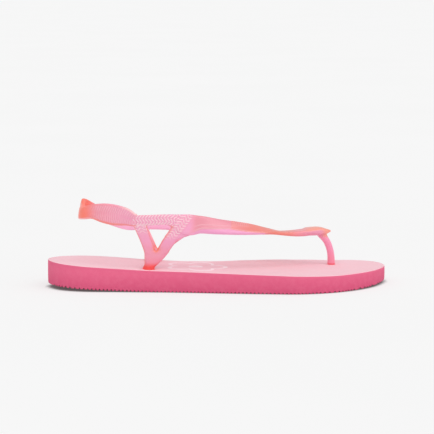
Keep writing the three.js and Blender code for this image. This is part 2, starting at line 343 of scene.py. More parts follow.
def new_object(name, vertices, faces):
    mesh = bpy.data.meshes.new(name)
    mesh.from_pydata(np.asarray(vertices).tolist(), [], faces)
    piece = bpy.data.objects.new(name, mesh)
    bpy.context.collection.objects.link(piece)
    work = bmesh.new()
    work.from_mesh(mesh)
    bmesh.ops.recalc_face_normals(work, faces=work.faces)
    work.to_mesh(mesh)
    work.free()
    mesh.shade_smooth()
    return piece


def ring_faces(rows, columns):
    """Quads between rings of equal size, and a many-sided face at each end."""
    faces = []
    for i in range(rows - 1):
        for j in range(columns):
            a = i * columns + j
            b = i * columns + (j + 1) % columns
            faces.append((a, b, b + columns, a + columns))
    faces.append(tuple(reversed(range(columns))))
    faces.append(tuple(range((rows - 1) * columns, rows * columns)))
    return faces


def evaluated(piece):
    """Replaces the piece's mesh with the result of its modifiers."""
    depsgraph = bpy.context.evaluated_depsgraph_get()
    mesh = bpy.data.meshes.new_from_object(piece.evaluated_get(depsgraph))
    piece.modifiers.clear()
    piece.data = mesh
    mesh.shade_smooth()


def points_of(piece):
    flat = np.empty(len(piece.data.vertices) * 3)
    piece.data.vertices.foreach_get("co", flat)
    return flat.reshape(-1, 3)


def normals_of(piece):
    flat = np.empty(len(piece.data.vertices) * 3, np.float32)
    piece.data.vertex_normals.foreach_get("vector", flat)
    return flat.reshape(-1, 3).astype(float)


def move_points(piece, points):
    piece.data.vertices.foreach_set("co", np.ascontiguousarray(points).ravel())
    piece.data.update()


def to_metres(piece):
    move_points(piece, points_of(piece) * MM)


def paint(piece, colours):
    """Stores a linear colour at each point, which the material starts from."""
    layer = piece.data.color_attributes.new("tint", "FLOAT_COLOR", "POINT")
    rgba = np.ones((len(colours), 4), np.float32)
    rgba[:, :3] = colours
    layer.data.foreach_set("color", rgba.ravel())


def remeshed(name, parts, voxel, smoothing):
    """Joins overlapping closed meshes into one skin and rounds its creases."""
    vertices = np.vstack([part[0] for part in parts])
    faces = []
    start = 0
    for points, part_faces in parts:
        faces += [tuple(start + i for i in face) for face in part_faces]
        start += len(points)
    piece = new_object(name, vertices, faces)
    skin = piece.modifiers.new("skin", "REMESH")
    skin.mode = "VOXEL"
    skin.voxel_size = voxel
    relax = piece.modifiers.new("relax", "SMOOTH")
    relax.factor = 0.5
    relax.iterations = smoothing
    evaluated(piece)
    return piece


# ---------------------------------------------------------------- swept bands


def rounded_square(columns, squareness):
    """Points round a unit cross-section. Squareness 2 is a circle, and more has fuller corners."""
    angle = 2 * math.pi * (np.arange(columns) + 0.5) / columns
    c, s = np.cos(angle), np.sin(angle)
    power = 2 / squareness
    return np.sign(c) * np.abs(c) ** power, np.sign(s) * np.abs(s) ** power


class Band:
    """A strap's centre line with its width and thickness directions, at even steps."""

    def __init__(self, stations, spacing, low=-1e9, high=1e9):
        line = even_spacing(catmull_rom(stations, 40), spacing)
        line = line[(line[:, 0] >= low) & (line[:, 0] <= high)]
        self.centre = line[:, :3]
        self.half_width = line[:, 3] / 2
        self.half_thickness = line[:, 4] / 2
        lean = np.radians(line[:, 5])[:, None]
        self.tangent = unit(np.gradient(self.centre, axis=0))
        level = unit(np.cross([0, 0, 1], self.tangent))
        upright = np.cross(self.tangent, level)
        self.width_axis = upright * np.cos(lean) + level * np.sin(lean)
        self.thickness_axis = np.cross(self.width_axis, self.tangent)
        steps = np.linalg.norm(np.diff(self.centre, axis=0), axis=1)
        self.along = np.concatenate([[0], np.cumsum(steps)])

    def skin(self, columns=32, squareness=3.0, scale=1.0):
        """Vertices and faces of the swept band."""
        c, s = rounded_square(columns, squareness)
        rings = (self.centre[:, None]
                 + self.thickness_axis[:, None] * (c * self.half_thickness[:, None] * scale)[..., None]
                 + self.width_axis[:, None] * (s * self.half_width[:, None] * scale)[..., None])
        return rings.reshape(-1, 3), ring_faces(len(self.centre), columns)

    def locate(self, points):
        """Each point's distance along the band, across it and through it, and the half width there."""
        nearest = np.empty(len(points), int)
        at_once = 4000
        for start in range(0, len(points), at_once):
            gap = points[start:start + at_once, None] - self.centre[None]
            nearest[start:start + at_once] = np.argmin(np.einsum("ijk,ijk->ij", gap, gap), 1)
        offset = points - self.centre[nearest]
        dot = lambda axis: np.einsum("ij,ij->i", offset, axis[nearest])
        along = self.along[nearest] + dot(self.tangent)
        across = dot(self.width_axis)
        through = dot(self.thickness_axis)
        return along, across, through, self.half_width[nearest]


def upright_skin(levels, columns=32, squareness=2.6):
    """Horizontal rings through (x, y, z, half x, half y) levels, smoothly interpolated."""
    line = even_spacing(catmull_rom(levels, 12), 0.5)
    c, s = rounded_square(columns, squareness)
    rings = np.empty((len(line), columns, 3))
    rings[..., 0] = line[:, 0, None] + c * line[:, 3, None]
    rings[..., 1] = line[:, 1, None] + s * line[:, 4, None]
    rings[..., 2] = line[:, 2, None]
    return rings.reshape(-1, 3), ring_faces(len(line), columns)


def disc_and_stem(x, y, top):
    """The anchor disc under the sole and the stem up through it, as stacked rings."""
    levels = [
        (DISC_LIFT, DISC_RADIUS - 0.5), (DISC_LIFT + 0.4, DISC_RADIUS), (DISC_TOP - 0.5, DISC_RADIUS),
        (DISC_TOP, DISC_RADIUS - 0.6), (DISC_TOP + 0.3, STEM_RADIUS), (top, STEM_RADIUS),
    ]
    columns = 40
    angle = 2 * math.pi * np.arange(columns) / columns
    rings = [np.stack([x + r * np.cos(angle), y + r * np.sin(angle), np.full(columns, z)], 1)
             for z, r in levels]
    return np.vstack(rings), ring_faces(len(levels), columns)


# ---------------------------------------------------------------- sole


def underside(x):
    to_heel = np.maximum(0, (HEEL_LIFT_START - x) / (HEEL_LIFT_START + HALF_LENGTH))
    to_toe = np.maximum(0, (x - TOE_SPRING_START) / (HALF_LENGTH - TOE_SPRING_START))
    return HEEL_LIFT * to_heel**HEEL_LIFT_POWER + TOE_SPRING * to_toe**TOE_SPRING_POWER


def footbed_height(x):
    to_ball = np.minimum(1, (x + HALF_LENGTH) / (BALL_X + HALF_LENGTH))
    past_ball = np.maximum(0, (x - BALL_X) / (HALF_LENGTH - BALL_X))
    taper = (HEEL_THICKNESS - BALL_THICKNESS) * np.maximum(0, to_ball) ** TAPER_POWER
    thickness = HEEL_THICKNESS - taper - (BALL_THICKNESS - TOE_THICKNESS) * past_ball**2
    return underside(x) + thickness


def tread_top(x):
    return underside(x) + TREAD_THICKNESS


def core_top(x):
    return footbed_height(x) - FOOTBED_THICKNESS


def above_glue(surface):
    """The underside of the layer that is glued on a surface."""
    return lambda x: surface(x) + GLUE_GAP


def groove(x, y):
    """Depth of the tread's wavy cross grooves at a point of the underside."""
    wave = TREAD_WAVE * np.sin(2 * math.pi * y / TREAD_WAVELENGTH)
    phase = np.cos(2 * math.pi * (x + wave) / GROOVE_PITCH)
    return GROOVE_DEPTH * smoothstep(*GROOVE_FLANK, phase)


def sole_edge(per_span):
    """Points round the sole's outline and their outward directions."""
    loop = centripetal_loop(OUTER_OUTLINE + INNER_OUTLINE, per_span)
    ahead = unit(np.roll(loop, -1, 0) - np.roll(loop, 1, 0))
    return loop, np.stack([ahead[:, 1], -ahead[:, 0]], 1)


def sole_rows(spacing):
    """Facing points of the outer and inner edges with their outward directions, from heel to toe."""
    loop, outward = sole_edge(300)
    heel, toe = np.argmin(loop[:, 0]), np.argmax(loop[:, 0])
    order = np.roll(np.arange(len(loop)), -heel)
    cut = np.flatnonzero(order == toe)[0]
    halves = [order[:cut + 1], np.append(order[cut:], heel)[::-1]]
    length = loop[toe, 0] - loop[heel, 0]
    tip = np.array([0.004, 0.02, 0.06, 0.12, 0.2, 0.3])  # close together where the outline turns
    tip_end = 0.42
    middle = np.arange(tip_end, length - tip_end, spacing)
    x = loop[heel, 0] + np.concatenate([tip, middle, length - tip[::-1]])
    sides = []
    for half in halves:
        columns = np.hstack([loop[half], outward[half]])
        rows = np.stack([np.interp(x, loop[half, 0], column) for column in columns.T], 1)
        sides.append((rows[:, :2], unit(rows[:, 2:])))
    return sides


def wall_inset(x, z):
    """How far the wall stands in from the outline at a height: rounded at both rims, fuller in the middle."""
    low, high = underside(x), footbed_height(x)
    share = (z - low) / (high - low)
    bulge = WALL_BULGE * np.sin(math.pi * np.clip(share, 0, 1)) ** 0.8
    rim_top = TOP_RIM[0] * np.clip(1 - (high - z) / TOP_RIM[1], 0, 1) ** 2
    rim_low = LOW_RIM[0] * np.clip(1 - (z - low) / LOW_RIM[1], 0, 1) ** 2
    return rim_top + rim_low - bulge


def sole_layer(name, low, high, spacing, wall_steps, across, bottom=None, top=None):
    """A layer between two heights, given as functions of x, with optional relief on its broad faces."""
    (outer, outer_out), (inner, inner_out) = sole_rows(spacing)
    share = np.linspace(0, 1, wall_steps)
    share = share * share * (3 - 2 * share)
    spread = np.linspace(0, 1, across + 2)[1:-1]
    spread = 0.5 - 0.5 * np.cos(math.pi * spread)

    def wall(edge, outward):
        z = low(edge[:, :1]) + (high(edge[:, :1]) - low(edge[:, :1])) * share
        if bottom is not None:
            lifted = low(edge[:, :1]) + bottom(edge[:, :1], edge[:, 1:])
            z = np.maximum(z, lifted)
        inset = wall_inset(edge[:, :1], z)
        x = edge[:, :1] - outward[:, :1] * inset
        y = edge[:, 1:] - outward[:, 1:] * inset
        return np.stack([x, y, z], 2)

    outer_wall, inner_wall = wall(outer, outer_out), wall(inner, inner_out)

    def face(first, last, relief):
        flat = first[:, None] + (last - first)[:, None] * spread[None, :, None]
        if relief is not None:
            flat[..., 2] = relief(flat[..., 0], flat[..., 1])
        return flat

    under = None if bottom is None else lambda x, y: low(x) + bottom(x, y)
    over = None if top is None else lambda x, y: high(x) + top(x, y)
    bottom_face = face(outer_wall[:, 0], inner_wall[:, 0], under)
    top_face = face(inner_wall[:, -1], outer_wall[:, -1], over)
    rings = np.concatenate([bottom_face, inner_wall, top_face, outer_wall[:, ::-1]], 1)
    rows, columns = rings.shape[:2]
    return new_object(name, rings.reshape(-1, 3), ring_faces(rows, columns))


def plug_places():
    return [(PLUG_X, OUTER.plug_y), (PLUG_X, INNER.plug_y), TOE_POST]


def dimples(x, y):
    """The footbed sinks a little where the strap's feet are pulled down into it."""
    depth = 0
    for px, py in plug_places():
        distance = np.hypot(x - px, y - py)
        depth = depth - DIMPLE_DEPTH * np.exp(-((distance / DIMPLE_RADIUS) ** 2))
    return depth


def footbed_relief(x, y):
    """The dimples, and a slight unevenness of the whole sheet."""
    sway = 0.10 * np.sin(x / 9.0) * np.sin(y / 11.0 + 1)
    return dimples(x, y) + sway


def cut_round(piece, places, radius, low, high):
    """Drills upright round holes."""
    columns = 48
    angle = 2 * math.pi * np.arange(columns) / columns
    vertices, faces = [], []
    for x, y in places:
        rings = [np.stack([x + radius * np.cos(angle), y + radius * np.sin(angle), np.full(columns, z)], 1)
                 for z in (low, high)]
        faces += [tuple(len(vertices) * 2 * columns + i for i in face) for face in ring_faces(2, columns)]
        vertices.append(np.vstack(rings))
    cutter = new_object("cutter", np.vstack(vertices), faces)
    cut = piece.modifiers.new("cut", "BOOLEAN")
    cut.operation = "DIFFERENCE"
    cut.solver = "MANIFOLD"
    cut.object = cutter
    evaluated(piece)
    bpy.data.objects.remove(cutter)


def shade_flat_angle(piece, degrees):
    """Smooth shading that keeps edges sharper than the angle."""
    piece.data.set_sharp_from_angle(angle=math.radians(degrees))


def make_sole():
    outsole = sole_layer("outsole_tread", underside, tread_top, TREAD_STEP, 9, 64, bottom=groove)
    midsole = sole_layer("midsole_core", above_glue(tread_top), core_top, LAYER_STEP, 16, 24)
    footbed = sole_layer("footbed_sheet", above_glue(core_top), footbed_height, LAYER_STEP, 10, 90,
                         top=footbed_relief)
    cut_round(outsole, plug_places(), DISC_RADIUS + RECESS_GAP, BELOW_SOLE, ABOVE_TREAD)
    cut_round(midsole, plug_places(), DISC_RADIUS + RECESS_GAP, BELOW_SOLE, DISC_TOP + RECESS_GAP)
    cut_round(midsole, plug_places(), STEM_RADIUS + STEM_GAP, BELOW_SOLE, ABOVE_SOLE)
    cut_round(footbed, plug_places(), STEM_RADIUS + STEM_GAP, BELOW_SOLE, ABOVE_SOLE)
    layers = [
        (outsole, "outsole", "sole_foam"),
        (midsole, "midsole", "sole_foam"),
        (footbed, "footbed", "footbed_foam"),
    ]
    for piece, node, slot in layers:
        shade_flat_angle(piece, 50)
        to_metres(piece)
        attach(piece, "sandal")
        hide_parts(node)
    return outsole, midsole, footbed


# ---------------------------------------------------------------- strap


def mix(a, b, weight):
    return a + (b - a) * np.asarray(weight)[..., None]


def outer_face(points, normals):
    """1 on the faces turned away from the foot, 0 on those turned to it."""
    middle = np.array([-50.0, -4.0])
    away = unit(points[:, :2] - middle)
    return smoothstep(-0.15, 0.45, np.einsum("ij,ij->i", normals[:, :2], away))


def braid_height(along, across, pitch=BRAID_PITCH, row_width=BRAID_ROW):
    """Rows of short slanted strokes that lean to and fro like a braid."""
    row = np.floor(across / row_width)
    place = across / row_width - row - 0.5
    lean = np.where(row % 2 == 0, BRAID_LEAN, -BRAID_LEAN)
    phase = along / pitch + lean * place
    stroke = 1 - np.abs((phase % 1) - 0.5) * 2
    return smoothstep(0.3, 0.75, stroke) * smoothstep(0.5, 0.4, np.abs(place))


def sling_relief_and_colour(band, points, normals):
    """Relief height and colour of the sling: strokes, a bead along both edges and a smooth orange heel, with
    painted highlights and a painted glow.
    """
    along, across, _, half_width = band.locate(points)
    x = points[:, 0]
    outside = outer_face(points, normals)
    bead = smoothstep(0.78, 0.92, np.abs(across) / half_width)
    smooth_middle = smoothstep(0.4, 1.1, np.abs(across))
    smooth_heel = smoothstep(-97, -91, x)
    strokes = braid_height(along, across, ARM_PITCH, ARM_ROW) * outside * (1 - bead)
    strokes *= smooth_middle * smooth_heel
    heel = smoothstep(-86, -98, x)
    near_heel = smoothstep(-64, -90, x)
    # The beads carry painted highlights: a pale lower line over the heel and a shine along the upper rim.
    low_bead = bead * (across < 0)
    rim_shine = bead * (across > 0) * smoothstep(-73, -65, x)
    # Painted glow: orange on the beads, towards the heel and over the heel lobes, for light through the thin
    # vinyl.
    warm = 0.15 * near_heel + (0.5 * low_bead + 0.15 * bead) * outside
    colours = mix(linear(ROSE), linear(MAUVE), 0.5 * outside * (1 - strokes) * (1 - near_heel))
    # Painted highlight: the strokes' pale tops.
    colours = mix(colours, linear(HIGHLIGHT_BLUSH), 0.38 * strokes * (1 - heel))
    # Painted glow: pale lilac on the faces turned to the foot.
    colours = mix(colours, linear(THROUGH_LIGHT_LILAC), (1 - outside) * (1 - heel))
    colours = mix(colours, linear(ORANGE), np.clip(warm, 0, 1))
    colours = mix(colours, linear(HEEL_GLOW_ORANGE), 0.95 * heel)
    colours = mix(colours, linear(HIGHLIGHT_BLUSH), 0.6 * low_bead * heel)
    colours = mix(colours, linear(SHINE), 0.45 * rim_shine)
    return BRAID_HEIGHT * strokes + BEAD_HEIGHT * bead, colours


def make_sling():
    """The textured loop round the heel. Its ends are sleeves over the ends of the bands on the sandal."""
    band = Band(SLING, 0.25, high=SLEEVE_END)
    vertices, faces = band.skin(columns=96, squareness=3.2, scale=SLEEVE_SCALE)
    piece = new_object("heel_sling_band", vertices, faces)
    points, normals = points_of(piece), normals_of(piece)
    height, colours = sling_relief_and_colour(band, points, normals)
    move_points(piece, points + normals * height[:, None])
    paint(piece, colours)
    to_metres(piece)
    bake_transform(piece)
    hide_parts("heel_band", "lateral_sling_arm", "medial_sling_arm")
    return piece


def band_drift(x):
    """Ahead of the legs both bands curve to the inner side, and the tops of the front legs follow them."""
    return 0.0092 * np.maximum(0, x + 40) ** 2


def side_levels(side, levels):
    """Levels written for the outer side, placed on one side as x, y, z and half sizes."""
    base = footbed_height(PLUG_X)
    placed = []
    for x, z, half_x, half_y in levels:
        rise = (z - base) / (OUTER.band_z - base)
        y = side.plug_y + (side.band_y - side.plug_y) * max(0, rise)
        height = base + (z - base) * (side.band_z - 4 - base) / (OUTER.band_z - 4 - base)
        placed.append((x, y, height, half_x, half_y))
    return placed


def side_member(side, levels, squareness):
    points, faces = upright_skin(side_levels(side, levels), squareness=squareness)
    points[:, 1] += band_drift(points[:, 0])
    return points, faces


def side_skins(side):
    """The band over the plug and ahead of it, its two legs, the trunk, foot, stem and anchor disc."""
    return [
        Band(side.stations, BAND_STEP, low=TUCKED_END, high=BAND_END).skin(columns=40),
        side_member(side, TRUNK, 2.2),
        side_member(side, REAR_LEG, 3),
        side_member(side, side.front_leg, 3),
        disc_and_stem(PLUG_X, side.plug_y, footbed_height(PLUG_X) + 1),
    ]


def toe_skins():
    """The pointed saddle, the toe post, its stem and its anchor disc."""
    return [
        Band(SADDLE, BAND_STEP).skin(squareness=2.6),
        upright_skin(TOE_POST_LEVELS, squareness=2),
        disc_and_stem(*TOE_POST, footbed_height(TOE_POST[0]) + 1),
    ]


def leg_place(side, levels, points):
    """Each point's distance up a leg and its place across it (-1 to 1, and in millimetres)."""
    rows = np.array(side_levels(side, levels))
    centre = np.interp(points[:, 2], rows[:, 2], rows[:, 0])
    half = np.interp(points[:, 2], rows[:, 2], rows[:, 3])
    run = rows[-1, 0] - rows[0, 0]
    slant = math.hypot(run, rows[-1, 2] - rows[0, 2]) / (rows[-1, 2] - rows[0, 2])
    across = points[:, 0] - centre
    return points[:, 2] * slant, across / half, across / slant


def side_places(side, points):
    """Where each point of one side lies: its height, its place on the band and its place across its leg."""
    x, z = points[:, 0], points[:, 2]
    foot = footbed_height(PLUG_X)
    height_on_outer = z + OUTER.band_z - side.band_z
    at = SimpleNamespace(x=x, rise=(z - foot) / (side.band_z - foot))
    band = Band(side.stations, BAND_STEP, low=TUCKED_END, high=0)
    at.along, at.across, _, at.half_width = band.locate(points)
    at.past_line = x - BRAID_LINE[0] - BRAID_LINE_SLOPE * (height_on_outer - BRAID_LINE[1])
    at.up_line = z + BRAID_LINE_SLOPE * x
    at.below_band = smoothstep(0.3, -0.3, z - (side.band_z - 4.2) - np.maximum(0, x + 30) * 0.9)
    at.rear_along, rear_share, at.rear_across = leg_place(side, REAR_LEG, points)
    front_share = leg_place(side, side.front_leg, points)[1]
    at.is_rear = np.abs(rear_share) < np.abs(front_share)
    at.leg_share = np.where(at.is_rear, rear_share, front_share)
    return at


def side_strokes(at, outside):
    """The braid on the band and on the upper part of both legs."""
    front = braid_height(at.up_line * BRAID_LINE_SCALE, at.past_line * BRAID_LINE_SCALE)
    front *= smoothstep(0.55, 0.72, at.rise)
    rear = braid_height(at.rear_along, at.rear_across) * smoothstep(0.68, 0.8, at.rise)
    band = braid_height(at.along, at.across + BRAID_ROW / 2)
    strokes = np.where(at.below_band > 0.5, rear, band)
    strokes = np.where((at.past_line > -LEG_BRAID_WIDTH) & ~at.is_rear, front, strokes)
    plain_leg_edges = smoothstep(1.0, 0.85, np.where(at.below_band > 0.5, np.abs(at.leg_share), 0))
    behind_line = smoothstep(-0.4, -1.4, at.past_line)
    return strokes * outside * behind_line * plain_leg_edges


def side_edge_glow(at, normals):
    """How orange each point is: the edges of the legs, the crotch between them and the band's top edge. This
    orange is a painted glow of light through the thin vinyl.
    """
    inner_edge = np.where(at.is_rear, at.leg_share, -at.leg_share)
    outer_line = np.where(at.is_rear, 1.1, 0.4) * smoothstep(0.7, 0.95, -inner_edge)
    leg_edge = smoothstep(0.62, 0.98, inner_edge) + outer_line
    in_leg = at.below_band * smoothstep(0.3, 0.4, at.rise)
    crotch = np.exp(-((at.x + 44.4) / 2.6) ** 2 - ((at.rise - 0.4) / 0.06) ** 2)
    trunk_edge = smoothstep(0.5, 0.9, np.abs(normals[:, 0])) * smoothstep(0.45, 0.35, at.rise)
    band_edge = smoothstep(0.8, 0.98, at.across / at.half_width) * smoothstep(-36, -42, at.x)
    warm = 0.2 * band_edge + 0.95 * crotch + 0.6 * in_leg * leg_edge + 0.7 * trunk_edge
    return np.clip(warm, 0, 1) * smoothstep(-20, -26, at.x)


def side_relief_and_colour(side, points, normals):
    """Relief height and colour of the yoke and plug on one side."""
    at = side_places(side, points)
    outside = outer_face(points, normals)
    strokes = side_strokes(at, outside)
    lower_edge = smoothstep(0.8, 0.55, np.abs(at.across + at.half_width - 0.5))
    low_line = lower_edge * smoothstep(-37, -39, at.x) * outside
    streak = smoothstep(0, 1, at.past_line) * smoothstep(6, 3, at.past_line) * smoothstep(0.5, 0.8, at.rise)
    between_strokes = smoothstep(0.3, 0.6, at.rise) * outside * (1 - strokes)
    colours = mix(linear(ROSE), linear(MAUVE), between_strokes * 0.9)
    # Painted highlights: the strokes' pale tops and the pale line along the band's lower edge; the orange
    # edges below are a painted glow.
    colours = mix(colours, linear(HIGHLIGHT_BLUSH), 0.95 * strokes)
    colours = mix(colours, linear(DEEP_PINK), 0.5 * smoothstep(0.3, 0.12, at.rise))
    # Painted glow: pale lilac on the faces turned to the foot.
    colours = mix(colours, linear(THROUGH_LIGHT_LILAC), (1 - outside) * smoothstep(0.5, 0.7, at.rise))
    colours = mix(colours, linear(LILAC), 0.7 * streak * outside)
    colours = mix(colours, linear(ORANGE), side_edge_glow(at, normals))
    colours = mix(colours, linear(HIGHLIGHT_BLUSH), 0.6 * low_line)
    colours = mix(colours, linear(CORAL_RED), smoothstep(0.15, 0.04, at.rise))
    return BRAID_HEIGHT * strokes, colours


def place_across_front(points):
    """Each point's place across the front strap it lies on (-1 to 1), and whether that is the outer one."""
    shares, gaps = [], []
    for side in (OUTER, INNER):
        band = Band(side.stations, 0.5, low=-40, high=BAND_END)
        _, across, through, half_width = band.locate(points)
        shares.append(across / half_width)
        gaps.append(np.abs(across) / half_width + np.abs(through) / 1.5)
    on_outer = gaps[0] <= gaps[1]
    return np.where(on_outer, *shares), on_outer


def front_creases(x, from_strip):
    """Two creases along the strap above its lilac strip."""
    near = smoothstep(0.06, 0.02, np.abs(from_strip - 0.12))
    far = smoothstep(0.06, 0.02, np.abs(from_strip - 0.5))
    return np.clip(near + 0.7 * far * smoothstep(16, 6, x), 0, 1)


def front_ribs(x, across):
    """Fine cross ribs on the upper half of the strap."""
    ribs = (0.5 + 0.5 * np.cos(2 * math.pi * x / RIB_PITCH)) * smoothstep(0, 0.3, across)
    return ribs * smoothstep(RIBS_FROM, RIBS_FROM + 0.6, x) * smoothstep(RIBS_TO, RIBS_TO - 6, x)


def front_warmth(x, edge):
    """How orange the front straps are: more past the seam where the ribs begin, and towards the saddle. The
    little extra on the edges is a painted glow.
    """
    seam = smoothstep(RIBS_FROM - 0.4, RIBS_FROM + 0.4, x)
    warm = (0.24 + 0.4 * seam + 0.2 * smoothstep(14, 30, x)) * smoothstep(72, 48, x)
    return np.clip(warm + 0.1 * edge, 0, 0.9)


def paint_post(colours, post, z):
    """The toe post is pink, deeper towards the footbed, with a red ring at its base."""
    base = footbed_height(TOE_POST[0])
    colours = mix(colours, linear(POST_PINK), post)
    colours = mix(colours, linear(DEEP_PINK), 0.6 * post * smoothstep(26, base, z))
    return mix(colours, linear(CORAL_RED), 0.6 * post * smoothstep(base + 1.0, base + 0.5, z))


def front_relief_and_colour(points, normals):
    """Relief height and colour of both smooth front straps, the saddle and the toe post."""
    x, z = points[:, 0], points[:, 2]
    across, on_outer = place_across_front(points)
    on_strap = smoothstep(-19, -14, x) * smoothstep(60, 50, x)
    from_strip = across - np.interp(x, (-26, -12, 9, 24, 36), (-1, -0.56, -0.4, -0.77, -1))
    strip = smoothstep(0.03, -0.03, from_strip) * smoothstep(42, 36, x)
    creases = front_creases(x, from_strip) * on_strap
    ribs = front_ribs(x, across) * on_outer
    edge = smoothstep(0.75, 0.97, np.abs(across)) * on_strap
    post = smoothstep(34.5, 32, z) * (x > 60)
    on_top = smoothstep(0.2, 0.8, normals[:, 2])
    # On the saddle's upward faces the tan is painted light from above; near the tip it goes all round.
    tip = np.clip(smoothstep(58, 72, x) * on_top + smoothstep(76, 82, x), 0, 1) * (1 - post)
    colours = mix(linear(STRAP_PINK) + 0 * points, linear(ORANGE), front_warmth(x, edge))
    colours = mix(colours, linear(SADDLE_TAN), 0.75 * tip)
    # Painted shade: the lilac strip on the strap's down-turned lower facet.
    colours = mix(colours, linear(SHADED_STRIP_LILAC), strip * smoothstep(-26, -18, x))
    # Painted glow: the strip's underside is paler, for light through its thin lower edge.
    colours = mix(colours, linear(THROUGH_LIGHT_LILAC), 0.7 * strip * smoothstep(-0.1, -0.9, normals[:, 2]))
    # Painted highlights on the creases and the ribs.
    colours = mix(colours, linear(HIGHLIGHT_BLUSH), 0.5 * creases * smoothstep(44, 30, x))
    colours = mix(colours, linear(HIGHLIGHT_BLUSH), 0.25 * ribs)
    colours = colours * (1 - 0.07 * on_strap)[:, None]
    return CREASE_HEIGHT * creases + RIB_HEIGHT * ribs, paint_post(colours, post, z)


def split_off(piece, name, place, direction):
    """Splits a piece at a plane: what lies past it becomes a piece of its own, and both ends are capped."""
    past = bpy.data.objects.new(name, piece.data.copy())
    bpy.context.collection.objects.link(past)
    for half, keeps_past in ((past, True), (piece, False)):
        work = bmesh.new()
        work.from_mesh(half.data)
        everything = work.verts[:] + work.edges[:] + work.faces[:]
        cut = bmesh.ops.bisect_plane(work, geom=everything, plane_co=place, plane_no=direction,
                                     clear_inner=keeps_past, clear_outer=not keeps_past)
        rim = [item for item in cut["geom_cut"] if isinstance(item, bmesh.types.BMEdge)]
        bmesh.ops.holes_fill(work, edges=rim, sides=0)
        work.to_mesh(half.data)
        work.free()
    return past


def strap_skin():
    """One skin over everything ahead of the hinge, with its relief and paint."""
    skin = remeshed("lateral_yoke_moulding", side_skins(OUTER) + side_skins(INNER) + toe_skins(), VOXEL, 6)
    points, normals = points_of(skin), normals_of(skin)
    height, colours = front_relief_and_colour(points, normals)
    at_back = smoothstep(-15, -21, points[:, 0])
    for side in (OUTER, INNER):
        own = (points[:, 0] < 0) & ((points[:, 1] < MIDLINE_Y) == (side is OUTER))
        side_height, side_colours = side_relief_and_colour(side, points[own], normals[own])
        height[own] = height[own] * (1 - at_back[own]) + side_height
        colours[own] = mix(colours[own], side_colours, at_back[own])
    move_points(skin, points + normals * height[:, None])
    paint(skin, colours)
    return skin


def cut_into_members(skin):
    """Cuts the skin at planes. Each member comes with the CAD nodes it replaces."""
    lateral_front = split_off(skin, "lateral_front_moulding", (FRONT_CUT_X, 0, 0), (1, 0, 0))
    medial_yoke = split_off(skin, "medial_yoke_moulding", (0, MIDLINE_Y, 0), (0, 1, 0))
    saddle = split_off(lateral_front, "saddle_moulding", (SADDLE_CUT_X, 0, 0), (1, 0, 0))
    medial_front = split_off(lateral_front, "medial_front_moulding", (0, FRONT_MIDLINE_Y, 0), (0, 1, 0))
    post = split_off(saddle, "toe_post_moulding", (0, 0, POST_TOP), (0, 0, -1))
    members = [
        (lateral_front, ["lateral_front_strap"]),
        (medial_front, ["medial_front_strap"]),
        (saddle, ["toe_saddle"]),
        (post, ["toe_post"]),
    ]
    for side, yoke in ((OUTER, skin), (INNER, medial_yoke)):
        crotch = side_levels(side, [(0, CROTCH_HEIGHT, 0, 0)])[0][2]
        plug = split_off(yoke, f"{side.name}_plug_moulding", (0, 0, crotch), (0, 0, -1))
        members.append((plug, [f"{side.name}_plug"]))
        members.append((yoke, [f"{side.name}_{name}" for name in ("bridge", "rear_leg", "front_leg")]))
    return members


def make_strap():
    """The strap ahead of the hinge, as its members. Only the two yokes reach back to the hinge's bend."""
    members = cut_into_members(strap_skin())
    for piece, nodes in members:
        shade_flat_angle(piece, 65)
        to_metres(piece)
        if piece.name.endswith("_yoke_moulding"):
            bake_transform(piece)
        else:
            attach(piece, "sandal")
        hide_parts(*nodes)
    return [piece for piece, _ in members]


# ---------------------------------------------------------------- materials


